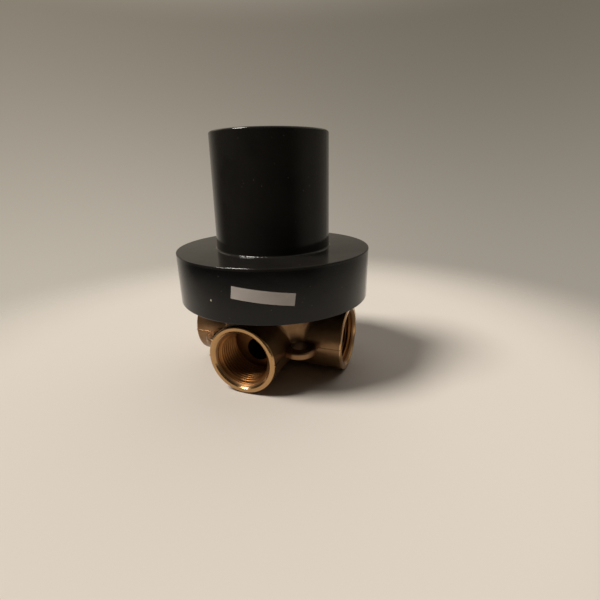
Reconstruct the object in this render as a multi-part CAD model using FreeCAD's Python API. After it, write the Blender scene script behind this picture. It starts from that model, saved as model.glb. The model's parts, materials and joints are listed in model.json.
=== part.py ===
import FreeCAD, Part
import math
import os

# Shower transfer valve: a brass rough-in body with four female pipe ports, a ceramic disc
# cartridge that joins the inlet to one of three outlets, and a black plastic plaster guard
# pushed over the body. Millimetres. The spindle axis is Z, the origin is on that axis in the
# plane of the body's flat foot, and the inlet port points along -Y.

os.makedirs("parts", exist_ok=True)

# Fits
drop_in_clearance = 0.1     # radial play of a piece that drops into its seat
seal_clearance = 0.05       # radial play left round a rubber seal
thread_clearance = 0.08     # radial play left between a plain thread and its plain bore
running_clearance = 0.08    # radial play of a turning shaft
running_gap = 0.05          # axial play between faces that slide on each other
guard_clearance = 0.3       # radial play of the guard on the body
joined = 0.6                # how far a fused feature runs into the piece that carries it
past = 1.0                  # how far a cutting tool runs out into the open

# Body casting
port_outer_radius = 17.0
port_reach = 41.2           # spindle axis to port face
port_bore_radius = 13.2     # major radius of the 3/4 inch pipe thread
port_bore_depth = 18.0
port_mouth_chamfer = 0.5
port_edge_round = 0.9
foot_proud = 0.4            # how far the foot stands below the ports
foot_radius = 11.0
foot_chamfer = 1.2
waterway_radius = 6.0
waterway_drop = 2.5         # waterway axis below port axis
waterway_overrun = 0.6      # how far a waterway runs on past its riser
hub_radius = 23.3
belly_radius = 27.2         # the casting where the ports meet
belly_above_ports = 3.1     # height of the belly's wall above the ports
belly_fillet = 2.5          # between the belly and the ports
fillet_land = 0.3           # least flat left between a fillet and the next edge
crease_fillet = 1.6         # between one port and the next, under the belly
chamber_floor_wall = 3.5    # metal between the waterways and the chamber floor
chamber_radius = 18.6
neck_radius = 21.2
neck_height = 8.0
neck_chamfer = 0.8
bonnet_thread_radius = 19.5
bonnet_thread_depth = 12.0

# Fixing lugs
lug_hole_offset = 21.6      # hole axis from the spindle axis, along X and along Y
lug_hole_radius = 4.3
lug_rim = 4.1
lug_thickness = 4.0
lug_round = 1.2

# Waterways through the cartridge
inlet_hole_radius = 4.0
outlet_hole_radius = 3.2
outlet_pitch_radius = 11.4
seal_wall = 1.6
seal_chamfer = 0.35

# Cartridge base
base_height = 6.0
base_rim_height = 3.0
base_chamfer = 0.5
peg_radius = 1.5
peg_length = 2.5
peg_end_play = 0.3
peg_pitch_radius = 15.0
peg_angles = (225.0, 315.0)
key_width = 3.0
key_depth = 1.4

# Ceramic discs
disc_radius = 15.9
fixed_disc_thickness = 4.0
moving_disc_thickness = 4.5
moving_disc_inset = 0.4
channel_depth = 2.4
drive_notch_width = 4.0
drive_notch_depth = 2.2
disc_chamfer = 0.3

# Disc driver
driver_thickness = 6.5
driver_lug_drop = 3.0
driver_slot_width = 6.0
driver_slot_length = 16.0
driver_slot_depth = 4.0

# Stem
stem_radius = 6.0
stem_drum_radius = 10.0
stem_drum_height = 5.0
stem_cord_radius = 0.75
stem_groove_rise = 4.0      # lower seal groove above the sleeve's ceiling
stem_groove_gap = 6.0       # from one seal groove to the next
stem_flat_half_width = 5.4
stem_land_above_clip = 0.8
spline_teeth = 24
spline_tip_radius = 5.3
spline_root_radius = 4.7
spline_start_above_nut = 1.5
spline_length = 26.0
stem_tip_chamfer = 0.8
handle_screw_radius = 2.1
handle_screw_depth = 14.0

# Thrust washer
washer_thickness = 1.5
washer_inset = 0.3

# Cartridge sleeve
sleeve_wall = 2.1
sleeve_top_wall = 6.0
tower_radius = 11.8
tower_height = 12.0
body_cord_radius = 0.9
groove_width_ratio = 1.25   # seal groove width over seal thickness
crown_height = 3.0
crown_inner_radius = 9.0
stop_travel = 90.0          # degrees each way
stop_tab_half_angle = 12.0
stop_play_angle = 1.0

# Stop ring and clip
stop_ring_radius = 8.6
clip_thickness = 1.1
clip_outer_radius = 7.8
clip_groove_depth = 1.0
clip_opening_half_angle = 24.0
clip_play = 0.1

# Bonnet nut
nut_bore_clearance = 0.4
nut_proud = 0.5             # underside of the hexagon above the neck
nut_hex_height = 5.5
nut_hex_across_flats = 32.0
nut_corner_round = 1.6      # how far the hexagon's corners are turned down

# Plaster guard
skirt_radius = 48.55        # at the upper edge of the skirt
skirt_height = 24.7
skirt_draft = 0.2           # how much narrower the skirt is at its lower edge
skirt_clear_of_ports = 4.5
guard_wall = 2.5
tube_radius = 28.6          # at the foot of the tube
tube_height = 53.8
tube_draft = 0.45           # how much narrower the tube is at its top
tube_top_round = 1.2
tube_foot_round = 0.8
skirt_edge_round = 0.5
collar_length = 16.0
rib_count = 8
rib_thickness = 1.8
rib_height = 9.0
grip_rib_count = 6
grip_rib_width = 1.2
grip_rib_play = 0.05

# Label
label_width = 26.7
label_height = 5.4
label_thickness = 0.12
label_angle = 18.5          # from the inlet port, towards +X
label_below_edge = 11.9     # centre below the upper edge of the skirt
label_tilt = 7.2            # lower at its +X end

# Levels up the spindle axis
port_z = port_outer_radius + foot_proud
belly_top_z = port_z + port_outer_radius + belly_above_ports
waterway_z = port_z - waterway_drop
chamber_floor_z = waterway_z + waterway_radius + chamber_floor_wall
skirt_bottom_z = port_z + port_outer_radius + skirt_clear_of_ports
skirt_top_z = skirt_bottom_z + skirt_height
shoulder_z = skirt_top_z - guard_wall
neck_top_z = shoulder_z + neck_height
tube_top_z = skirt_top_z + tube_height
base_top_z = chamber_floor_z + base_height
base_rim_z = base_top_z + base_rim_height
fixed_disc_top_z = base_top_z + fixed_disc_thickness
moving_disc_z = fixed_disc_top_z + running_gap
driver_z = moving_disc_z + moving_disc_thickness
drum_z = driver_z + driver_thickness
drum_top_z = drum_z + stem_drum_height
washer_top_z = drum_top_z + washer_thickness
sleeve_ceiling_z = washer_top_z + running_gap
sleeve_flange_z = sleeve_ceiling_z + sleeve_top_wall
tower_top_z = sleeve_flange_z + tower_height
stop_ring_z = tower_top_z + running_gap
crown_top_z = tower_top_z + crown_height
clip_top_z = crown_top_z + clip_thickness
land_top_z = clip_top_z + stem_land_above_clip
nut_hex_z = neck_top_z + nut_proud
nut_top_z = nut_hex_z + nut_hex_height
spline_z = max(nut_top_z, land_top_z) + spline_start_above_nut
stem_top_z = spline_z + spline_length

# Radii that follow from the fits
base_radius = chamber_radius - drop_in_clearance
sleeve_inner_radius = base_radius - sleeve_wall
disc_seat_radius = disc_radius + drop_in_clearance
moving_disc_radius = disc_radius - moving_disc_inset
stem_bore_radius = stem_radius + running_clearance
stem_groove_radius = stem_bore_radius - 2 * stem_cord_radius - seal_clearance
body_groove_radius = chamber_radius - 2 * body_cord_radius - seal_clearance
nut_bore_radius = tower_radius + nut_bore_clearance
nut_thread_radius = bonnet_thread_radius - thread_clearance
collar_inner_radius = hub_radius + guard_clearance
collar_outer_radius = collar_inner_radius + guard_wall

# The inlet faces -Y and the outlets lie on the other three sides
inlet_angle = 270.0
outlet_angles = {"right": 0.0, "back": 90.0, "left": 180.0}
port_angles = [inlet_angle] + list(outlet_angles.values())
rest_angle = outlet_angles["back"]

up = FreeCAD.Vector(0, 0, 1)
origin = FreeCAD.Vector(0, 0, 0)


# Building blocks

def place(radius, angle, z):
    """A point at a radius and angle round the spindle axis."""
    turn = math.radians(angle)
    return FreeCAD.Vector(radius * math.cos(turn), radius * math.sin(turn), z)


def beside(radius, angle):
    """The X and Y of a point at a radius and angle round the spindle axis."""
    point = place(radius, angle, 0)
    return (point.x, point.y)


def rod(radius, low, high, centre=(0.0, 0.0)):
    """An upright cylinder between two levels."""
    return Part.makeCylinder(radius, high - low, FreeCAD.Vector(centre[0], centre[1], low), up)


def ring(outer, inner, low, high, centre=(0.0, 0.0)):
    """An upright tube between two levels."""
    return rod(outer, low, high, centre).cut(rod(inner, low - past, high + past, centre))


def turned(points):
    """A solid of revolution about the spindle axis from (radius, level) points."""
    corners = [FreeCAD.Vector(r, 0, z) for r, z in points]
    face = Part.Face(Part.makePolygon(corners + corners[:1]))
    return face.revolve(origin, up, 360)


def sector(outer, inner, low, high, first, last):
    """Part of an upright tube between two angles."""
    corners = [FreeCAD.Vector(r, 0, z)
               for r, z in ((inner, low), (outer, low), (outer, high), (inner, high), (inner, low))]
    face = Part.Face(Part.makePolygon(corners))
    return face.revolve(origin, up, last - first).rotate(origin, up, first)


def radial_rod(radius, start, end, angle, z):
    """A level cylinder that runs outwards from the spindle axis."""
    return Part.makeCylinder(radius, end - start, place(start, angle, z), place(1, angle, 0))


def radial_cone(inner_radius, outer_radius, start, end, angle, z):
    """A level cone that runs outwards from the spindle axis."""
    return Part.makeCone(inner_radius, outer_radius, end - start,
                         place(start, angle, z), place(1, angle, 0))


def radial_block(start, end, width, low, high, angle):
    """A block that runs outwards from the spindle axis."""
    corner = FreeCAD.Vector(start, -width / 2, low)
    return Part.makeBox(end - start, width, high - low, corner).rotate(origin, up, angle)


def cord_ring(bore_radius, cord_radius, z):
    """A rubber ring of round section that lies against the wall of a bore."""
    return Part.makeTorus(bore_radius - seal_clearance - cord_radius, cord_radius,
                          FreeCAD.Vector(0, 0, z), up)


def cord_groove(outer, groove_radius, cord_radius, z):
    """What is turned away for a rubber ring of round section."""
    half_width = cord_radius * groove_width_ratio
    return ring(outer + past, groove_radius, z - half_width, z + half_width)


def circle_edges(shape, radius, z, centre=(0.0, 0.0)):
    """Level circular edges of one radius at one level, about an upright axis."""
    near = 1e-4
    found = []
    for edge in shape.Edges:
        if isinstance(edge.Curve, Part.Circle):
            middle = edge.Curve.Center
            aside = math.hypot(middle.x - centre[0], middle.y - centre[1])
            if max(aside, abs(middle.z - z), abs(edge.Curve.Radius - radius)) < near:
                found.append(edge)
    return found


def saddle_edges(shape, upright):
    """Edges where two round walls cross, with this many of the two walls upright."""
    found = []
    for edge in shape.Edges:
        walls = shape.ancestorsOfType(edge, Part.Face)
        axes = [wall.Surface.Axis for wall in walls if isinstance(wall.Surface, Part.Cylinder)]
        standing = [axis for axis in axes if abs(axis.z) > 0.5]
        if len(axes) == 2 and len(standing) == upright and abs(axes[0].dot(axes[1])) < 0.5:
            found.append(edge)
    return found


def save(name, shape):
    """Write one sub-part."""
    shape.exportStep("parts/" + name + ".step")
    print(name, len(shape.Solids), "solid", round(shape.Volume), "mm3", shape.isValid())


# Valve body

def port_barrel(angle):
    """The outside of one port, with its face's edge rounded."""
    barrel = radial_rod(port_outer_radius, 0, port_reach, angle, port_z)
    face_edges = [edge for edge in barrel.Edges
                  if isinstance(edge.Curve, Part.Circle)
                  and edge.Curve.Center.distanceToPoint(place(port_reach, angle, port_z)) < joined]
    return barrel.makeFillet(port_edge_round, face_edges)


def port_bore(angle):
    """What is bored out of one port, from its mouth to the step at the waterway."""
    step = port_reach - port_bore_depth
    bore = radial_rod(port_bore_radius, step, port_reach + past, angle, port_z)
    mouth = radial_cone(port_bore_radius, port_bore_radius + port_mouth_chamfer + past,
                        port_reach - port_mouth_chamfer, port_reach + past, angle, port_z)
    return bore.fuse(mouth)


def waterway(angle, riser_radius, riser_reach):
    """One drilled way from a port's step to its hole in the chamber floor."""
    step = port_reach - port_bore_depth
    inner_end = riser_reach - riser_radius - waterway_overrun
    level = radial_rod(waterway_radius, inner_end, step + past, angle, waterway_z)
    riser = rod(riser_radius, waterway_z, chamber_floor_z + past, beside(riser_reach, angle))
    return level.fuse(riser)


def lug(centre):
    """One fixing eye between two port barrels, its inner half run into the hub."""
    low = port_z - lug_thickness / 2
    high = port_z + lug_thickness / 2
    eye_radius = lug_hole_radius + lug_rim
    reach = math.hypot(centre[0], centre[1])
    angle = math.degrees(math.atan2(centre[1], centre[0]))
    eye = rod(eye_radius, low, high, centre)
    web = radial_block(0, reach, 2 * eye_radius, low, high, angle)
    plate = eye.fuse(web).removeSplitter()
    rims = [edge for edge in plate.Edges if isinstance(edge.Curve, Part.Circle)]
    sides = [edge for edge in plate.Edges
             if isinstance(edge.Curve, Part.Line) and edge.Length > reach - joined]
    return plate.makeFillet(lug_round, rims + sides)


def belly_quarter(angle):
    """A quarter of the belly with one port on it and the rounding between them."""
    belly = rod(belly_radius, -port_z, belly_top_z)
    casting = belly.fuse(port_barrel(angle)).removeSplitter()
    rounding = min(belly_fillet, belly_above_ports - fillet_land)
    casting = casting.makeFillet(rounding, saddle_edges(casting, 1))
    reach = 2 * port_reach
    corners = [place(0, 0, port_z), place(reach, angle - 45, port_z), place(reach, angle + 45, port_z)]
    wedge = Part.Face(Part.makePolygon(corners + corners[:1])).extrude(up * (belly_top_z - port_z))
    return casting.common(wedge)


def upper_casting():
    """The casting above the port axes: the belly round the ports and the hub on it."""
    slope = belly_radius - hub_radius
    casting = turned([(0, belly_top_z), (belly_radius, belly_top_z), (hub_radius, belly_top_z + slope),
                      (hub_radius, shoulder_z), (0, shoulder_z)])
    for angle in port_angles:
        casting = casting.fuse(belly_quarter(angle))
    return casting.removeSplitter()


def lower_casting():
    """The casting below the port axes: the four barrels and the foot between them."""
    casting = rod(foot_radius, 0, port_z)
    casting = casting.makeChamfer(foot_chamfer, circle_edges(casting, foot_radius, 0))
    for angle in port_angles:
        casting = casting.fuse(port_barrel(angle))
    casting = casting.removeSplitter()
    casting = casting.makeFillet(crease_fillet, saddle_edges(casting, 0))
    return casting.common(rod(2 * port_reach, 0, port_z))


def make_body():
    """The one-piece brass casting with its machined bores."""
    lug_centres = [(x * lug_hole_offset, y * lug_hole_offset) for x in (-1, 1) for y in (-1, 1)]
    casting = upper_casting().fuse(lower_casting()).removeSplitter()
    for centre in lug_centres:
        casting = casting.fuse(lug(centre))
    neck = rod(neck_radius, shoulder_z - joined, neck_top_z)
    neck = neck.makeChamfer(neck_chamfer, circle_edges(neck, neck_radius, neck_top_z))
    casting = casting.fuse(neck)
    for centre in lug_centres:
        casting = casting.cut(rod(lug_hole_radius, 0, port_z + lug_thickness / 2, centre))
    for angle in port_angles:
        casting = casting.cut(port_bore(angle))
    casting = casting.cut(waterway(inlet_angle, inlet_hole_radius, 0.0))
    for angle in outlet_angles.values():
        casting = casting.cut(waterway(angle, outlet_hole_radius, outlet_pitch_radius))
    casting = casting.cut(rod(chamber_radius, chamber_floor_z, neck_top_z + past))
    thread_bottom_z = neck_top_z - bonnet_thread_depth
    casting = casting.cut(rod(bonnet_thread_radius, thread_bottom_z, neck_top_z + past))
    for angle in peg_angles:
        hole_bottom_z = chamber_floor_z - peg_length - peg_end_play
        hole = rod(peg_radius + drop_in_clearance, hole_bottom_z, chamber_floor_z + past,
                   beside(peg_pitch_radius, angle))
        casting = casting.cut(hole)
    return casting


# Cartridge, fixed half

def make_base():
    """The cartridge's plastic base: seal holes, a rim and keys for the fixed disc, two pegs."""
    base = rod(base_radius, chamber_floor_z, base_rim_z)
    base = base.makeChamfer(base_chamfer, circle_edges(base, base_radius, chamber_floor_z))
    base = base.cut(rod(disc_seat_radius, base_top_z, base_rim_z + past))
    for angle in peg_angles:
        key = radial_block(disc_seat_radius - key_depth, disc_seat_radius + joined, key_width,
                           base_top_z - joined, base_rim_z, angle)
        peg = rod(peg_radius, chamber_floor_z - peg_length, chamber_floor_z + joined,
                  beside(peg_pitch_radius, angle))
        base = base.fuse(key).fuse(peg)
    inlet_seat = inlet_hole_radius + seal_wall + seal_clearance
    outlet_seat = outlet_hole_radius + seal_wall + seal_clearance
    base = base.cut(rod(inlet_seat, chamber_floor_z - past, base_top_z + past))
    for angle in outlet_angles.values():
        base = base.cut(rod(outlet_seat, chamber_floor_z - past, base_top_z + past,
                            beside(outlet_pitch_radius, angle)))
    return base


def make_seal(hole_radius, centre):
    """A rubber bush that seals one waterway between the chamber floor and the fixed disc."""
    seal = ring(hole_radius + seal_wall, hole_radius, chamber_floor_z, base_top_z, centre)
    rims = [edge for edge in seal.Edges if isinstance(edge.Curve, Part.Circle)]
    return seal.makeChamfer(seal_chamfer, rims)


def make_fixed_disc():
    """The lower ceramic disc, with the inlet hole in the middle and the outlet holes round it."""
    disc = rod(disc_radius, base_top_z, fixed_disc_top_z)
    rims = circle_edges(disc, disc_radius, base_top_z) + circle_edges(disc, disc_radius, fixed_disc_top_z)
    disc = disc.makeChamfer(disc_chamfer, rims)
    disc = disc.cut(rod(inlet_hole_radius, base_top_z - past, fixed_disc_top_z + past))
    for angle in outlet_angles.values():
        disc = disc.cut(rod(outlet_hole_radius, base_top_z - past, fixed_disc_top_z + past,
                            beside(outlet_pitch_radius, angle)))
    for angle in peg_angles:
        notch = radial_block(disc_seat_radius - key_depth - drop_in_clearance, disc_radius + past,
                             key_width + 2 * drop_in_clearance,
                             base_top_z - past, fixed_disc_top_z + past, angle)
        disc = disc.cut(notch)
    return disc


def make_sleeve():
    """The cartridge's turned brass housing, with the stem's bearing tower and its stop crown."""
    sleeve = rod(base_radius, base_rim_z, sleeve_flange_z)
    sleeve = sleeve.fuse(rod(tower_radius, sleeve_flange_z - joined, tower_top_z))
    tab_reach = stop_travel + stop_tab_half_angle + stop_play_angle
    crown = sector(tower_radius, crown_inner_radius, tower_top_z - joined, crown_top_z,
                   rest_angle + tab_reach, rest_angle + 360 - tab_reach)
    sleeve = sleeve.fuse(crown)
    sleeve = sleeve.cut(rod(sleeve_inner_radius, base_rim_z - past, sleeve_ceiling_z))
    sleeve = sleeve.cut(rod(stem_bore_radius, base_rim_z, tower_top_z + past))
    sleeve = sleeve.cut(cord_groove(base_radius, body_groove_radius, body_cord_radius, body_cord_z()))
    return sleeve


def body_cord_z():
    """The level of the rubber ring between the cartridge sleeve and the body."""
    return (sleeve_ceiling_z + sleeve_flange_z) / 2


def make_bonnet_nut():
    """The nut that screws into the neck and holds the cartridge down."""
    corner_radius = nut_hex_across_flats / 2 / math.cos(math.radians(30))
    corners = [place(corner_radius, 60 * step, nut_hex_z - joined) for step in range(7)]
    hexagon = Part.Face(Part.makePolygon(corners)).extrude(up * (nut_hex_height + joined))
    turned_down = turned([(0, nut_hex_z - joined), (corner_radius, nut_hex_z - joined),
                          (corner_radius, nut_top_z - nut_corner_round / 2),
                          (corner_radius - nut_corner_round, nut_top_z), (0, nut_top_z)])
    nut = rod(nut_thread_radius, sleeve_flange_z, nut_hex_z).fuse(hexagon.common(turned_down))
    return nut.cut(rod(nut_bore_radius, sleeve_flange_z - past, nut_top_z + past))


# Cartridge, turning half

def make_moving_disc():
    """The upper ceramic disc: a channel underneath joins the inlet to one outlet."""
    disc = rod(moving_disc_radius, moving_disc_z, driver_z)
    rims = circle_edges(disc, moving_disc_radius, moving_disc_z)
    rims += circle_edges(disc, moving_disc_radius, driver_z)
    disc = disc.makeChamfer(disc_chamfer, rims)
    roof_z = moving_disc_z + channel_depth
    channel = rod(inlet_hole_radius, moving_disc_z - past, roof_z)
    channel = channel.fuse(rod(outlet_hole_radius, moving_disc_z - past, roof_z,
                               beside(outlet_pitch_radius, rest_angle)))
    channel = channel.fuse(radial_block(0, outlet_pitch_radius, 2 * outlet_hole_radius,
                                        moving_disc_z - past, roof_z, rest_angle))
    disc = disc.cut(channel)
    for side in (rest_angle - 90, rest_angle + 90):
        disc = disc.cut(radial_block(moving_disc_radius - drive_notch_depth, moving_disc_radius + past,
                                     drive_notch_width, driver_z - driver_lug_drop - drop_in_clearance,
                                     driver_z + past, side))
    return disc


def make_driver():
    """The plastic piece that turns the moving disc, slotted for the stem's tongue."""
    outline = rod(moving_disc_radius, driver_z - driver_lug_drop, drum_z)
    driver = rod(moving_disc_radius, driver_z, drum_z)
    for side in (rest_angle - 90, rest_angle + 90):
        lug_start = moving_disc_radius - drive_notch_depth + drop_in_clearance
        block = radial_block(lug_start, moving_disc_radius + past,
                             drive_notch_width - 2 * drop_in_clearance,
                             driver_z - driver_lug_drop, driver_z + joined, side)
        driver = driver.fuse(block.common(outline))
    half_slot = driver_slot_length / 2
    slot = radial_block(-half_slot, half_slot, driver_slot_width,
                        drum_z - driver_slot_depth, drum_z + past, rest_angle - 90)
    return driver.cut(slot)


def splined_end():
    """The toothed upper end of the stem that the handle pushes on to."""
    corners = []
    tooth_angle = 360 / spline_teeth
    for tooth in range(spline_teeth):
        start = tooth * tooth_angle
        corners.append(place(spline_root_radius, start, spline_z))
        corners.append(place(spline_tip_radius, start + 0.3 * tooth_angle, spline_z))
        corners.append(place(spline_tip_radius, start + 0.5 * tooth_angle, spline_z))
        corners.append(place(spline_root_radius, start + 0.8 * tooth_angle, spline_z))
    teeth = Part.Face(Part.makePolygon(corners + corners[:1])).extrude(up * spline_length)
    blank = rod(spline_tip_radius, spline_z, stem_top_z)
    blank = blank.makeChamfer(stem_tip_chamfer, circle_edges(blank, spline_tip_radius, stem_top_z))
    return teeth.common(blank)


def stem_cord_levels():
    """The levels of the two rubber rings on the stem."""
    lower = sleeve_ceiling_z + stem_groove_rise
    return (lower, lower + stem_groove_gap)


def flatted(radius, half_width, low, high):
    """A round bar with two flats that face the drive notches' sides."""
    bar = rod(radius, low, high)
    across = radial_block(-radius, radius, 2 * half_width, low, high, rest_angle)
    return bar.common(across)


def make_stem():
    """The brass spindle: tongue, drum, sealed shaft, flats, clip groove, spline, screw hole."""
    half_tongue = driver_slot_length / 2 - drop_in_clearance
    tongue = radial_block(-half_tongue, half_tongue, driver_slot_width - 2 * drop_in_clearance,
                          drum_z - driver_slot_depth + drop_in_clearance, drum_z + joined,
                          rest_angle - 90)
    stem = rod(stem_drum_radius, drum_z, drum_top_z).fuse(tongue)
    stem = stem.fuse(rod(stem_radius, drum_z, stop_ring_z))
    stem = stem.fuse(flatted(stem_radius, stem_flat_half_width, stop_ring_z - joined, land_top_z))
    stem = stem.fuse(rod(spline_root_radius, land_top_z - joined, spline_z + joined))
    stem = stem.fuse(splined_end())
    for level in stem_cord_levels():
        stem = stem.cut(cord_groove(stem_radius, stem_groove_radius, stem_cord_radius, level))
    clip_groove = ring(stem_radius + past, stem_radius - clip_groove_depth,
                       crown_top_z - clip_play, clip_top_z + clip_play)
    stem = stem.cut(clip_groove)
    return stem.cut(rod(handle_screw_radius, stem_top_z - handle_screw_depth, stem_top_z + past))


def make_washer():
    """The plastic thrust washer on the stem's drum."""
    return ring(stem_drum_radius - washer_inset, stem_radius + drop_in_clearance,
                drum_top_z, washer_top_z)


def make_stop_ring():
    """The ring keyed to the stem's flats, whose tab meets the crown at each end of the travel."""
    stop = rod(stop_ring_radius, stop_ring_z, crown_top_z)
    stop = stop.fuse(sector(tower_radius - nut_bore_clearance, stop_ring_radius - joined,
                            stop_ring_z, crown_top_z,
                            rest_angle - stop_tab_half_angle, rest_angle + stop_tab_half_angle))
    return stop.cut(flatted(stem_radius + drop_in_clearance, stem_flat_half_width + drop_in_clearance,
                            stop_ring_z - past, crown_top_z + past))


def make_clip():
    """The steel clip that holds the stop ring and the stem in the sleeve."""
    clip = ring(clip_outer_radius, stem_radius - clip_groove_depth + seal_clearance,
                crown_top_z, clip_top_z)
    opening = sector(clip_outer_radius + past, stem_radius - clip_groove_depth - past,
                     crown_top_z - past, clip_top_z + past,
                     rest_angle + 180 - clip_opening_half_angle,
                     rest_angle + 180 + clip_opening_half_angle)
    return clip.cut(opening)


# Plaster guard and its label

def make_guard():
    """The black plastic guard: tube, disc, skirt, collar, stiffening ribs and grip ribs."""
    tube_inner_radius = tube_radius - guard_wall
    neck_hole_radius = neck_radius + guard_clearance
    collar_bottom_z = shoulder_z - collar_length
    skirt_low_radius = skirt_radius - skirt_draft
    tube_top_radius = tube_radius - tube_draft
    shell = turned([
        (0, tube_top_z), (tube_top_radius, tube_top_z), (tube_radius, skirt_top_z),
        (skirt_radius, skirt_top_z), (skirt_low_radius, skirt_bottom_z),
        (skirt_low_radius - guard_wall, skirt_bottom_z), (skirt_radius - guard_wall, shoulder_z),
        (collar_outer_radius, shoulder_z), (collar_outer_radius, collar_bottom_z),
        (collar_inner_radius, collar_bottom_z), (collar_inner_radius, shoulder_z),
        (neck_hole_radius, shoulder_z), (neck_hole_radius, skirt_top_z),
        (tube_inner_radius, skirt_top_z), (tube_inner_radius - tube_draft, tube_top_z - guard_wall),
        (0, tube_top_z - guard_wall)])
    shell = shell.makeFillet(tube_top_round, circle_edges(shell, tube_top_radius, tube_top_z))
    shell = shell.makeFillet(tube_foot_round, circle_edges(shell, tube_radius, skirt_top_z))
    shell = shell.makeFillet(skirt_edge_round, circle_edges(shell, skirt_radius, skirt_top_z)
                             + circle_edges(shell, skirt_low_radius, skirt_bottom_z))
    for rib in range(rib_count):
        angle = 360 / rib_count * (rib + 0.5)
        shell = shell.fuse(radial_block(collar_outer_radius - joined, skirt_radius - guard_wall + joined,
                                        rib_thickness, shoulder_z - rib_height, shoulder_z + joined,
                                        angle))
    for rib in range(grip_rib_count):
        angle = 360 / grip_rib_count * (rib + 0.5)
        shell = shell.fuse(radial_block(hub_radius + grip_rib_play, collar_inner_radius + joined,
                                        grip_rib_width, collar_bottom_z, shoulder_z + joined, angle))
    return shell


def make_label():
    """A small blank paper label stuck on the skirt, a little askew."""
    centre_z = skirt_top_z - label_below_edge

    def skirt_radius_at(z):
        return skirt_radius - skirt_draft * (skirt_top_z - z) / skirt_height

    reach = label_width
    low = centre_z - label_height - past
    high = centre_z + label_height + past
    paper = turned([(skirt_radius_at(low), low), (skirt_radius_at(low) + label_thickness, low),
                    (skirt_radius_at(high) + label_thickness, high), (skirt_radius_at(high), high)])
    outline = Part.makeBox(reach, label_width, label_height,
                           FreeCAD.Vector(skirt_radius - reach / 2, -label_width / 2, -label_height / 2))
    outline.rotate(origin, FreeCAD.Vector(1, 0, 0), -label_tilt)
    outline.translate(FreeCAD.Vector(0, 0, centre_z))
    outline.rotate(origin, up, inlet_angle + label_angle)
    return paper.common(outline)


save("valve_body", make_body())
save("cartridge_base", make_base())
save("inlet_seal", make_seal(inlet_hole_radius, (0.0, 0.0)))
for side, angle in outlet_angles.items():
    save("outlet_seal_" + side, make_seal(outlet_hole_radius, beside(outlet_pitch_radius, angle)))
save("fixed_disc", make_fixed_disc())
save("cartridge_sleeve", make_sleeve())
save("body_o_ring", cord_ring(chamber_radius, body_cord_radius, body_cord_z()))
save("bonnet_nut", make_bonnet_nut())
save("moving_disc", make_moving_disc())
save("disc_driver", make_driver())
save("stem", make_stem())
for name, level in zip(("lower", "upper"), stem_cord_levels()):
    save("stem_o_ring_" + name, cord_ring(stem_bore_radius, stem_cord_radius, level))
save("thrust_washer", make_washer())
save("stop_ring", make_stop_ring())
save("stem_clip", make_clip())
save("plaster_guard", make_guard())
save("label", make_label())
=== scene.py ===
"""Looks of a shower transfer valve, laid out as a Blender add-on and run as a script.

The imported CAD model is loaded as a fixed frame. Each operator models or finishes one group of
its pieces, and the last one sets up the floor, the lights and the camera. Lengths are metres.
"""
import json
import math
from collections import namedtuple

import bpy
from bpy.props import (FloatProperty, FloatVectorProperty, IntProperty, PointerProperty,
                       StringProperty)
from mathutils import Matrix, Vector


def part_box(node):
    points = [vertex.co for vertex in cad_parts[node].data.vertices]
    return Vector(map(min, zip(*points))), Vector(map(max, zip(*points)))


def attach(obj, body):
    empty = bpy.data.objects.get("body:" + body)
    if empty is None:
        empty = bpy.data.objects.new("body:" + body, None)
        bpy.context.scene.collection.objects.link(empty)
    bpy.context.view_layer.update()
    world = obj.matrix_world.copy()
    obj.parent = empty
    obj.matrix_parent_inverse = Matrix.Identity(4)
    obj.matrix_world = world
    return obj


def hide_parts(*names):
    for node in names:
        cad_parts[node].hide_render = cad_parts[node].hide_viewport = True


bl_info = {
    "name": "Shower transfer valve",
    "version": (1, 0, 0),
    "blender": (4, 5, 0),
    "location": "3D View > Sidebar > Valve",
    "description": "Finishes the CAD model of a shower transfer valve and lights it",
    "category": "Object",
}

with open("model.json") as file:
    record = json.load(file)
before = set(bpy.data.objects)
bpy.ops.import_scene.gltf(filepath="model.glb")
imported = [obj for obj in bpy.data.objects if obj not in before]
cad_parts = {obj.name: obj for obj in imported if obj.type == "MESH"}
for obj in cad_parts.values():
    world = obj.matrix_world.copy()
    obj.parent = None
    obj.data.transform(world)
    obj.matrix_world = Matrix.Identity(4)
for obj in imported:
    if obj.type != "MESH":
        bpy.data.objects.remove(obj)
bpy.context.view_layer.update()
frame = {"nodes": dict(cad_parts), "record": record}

MM = 0.001
HAIR = 0.02 * MM                # places closer than this are one, and a mask's step is as wide
MERGED = 0.001 * MM             # doubles closer than this become one vertex
FULL_TURN = 2 * math.pi
ORIGIN = (0.0, 0.0, 0.0)
BLACK = (0.0, 0.0, 0.0)
SENSOR_WIDTH = 36.0             # millimetres, as the lens is given for it
FARTHEST_SEEN = 20.0

Bore = namedtuple("Bore", "mouth axis radius length")


def stated(name):
    """What the record says about one mount."""
    return next(mount for mount in frame["record"]["mounts"] if mount["name"] == name)


def stated_bore(name):
    """The mouth's centre, outward axis, wall radius and length of a bore in the record."""
    mount = stated(name)
    axis = Vector(mount["axis"]).normalized()
    length = mount["dims"]["length_mm"] * MM
    mouth = Vector(mount["pos_m"]) + axis * length / 2
    return Bore(mouth, axis, mount["dims"]["r_mm"] * MM, length)


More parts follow.
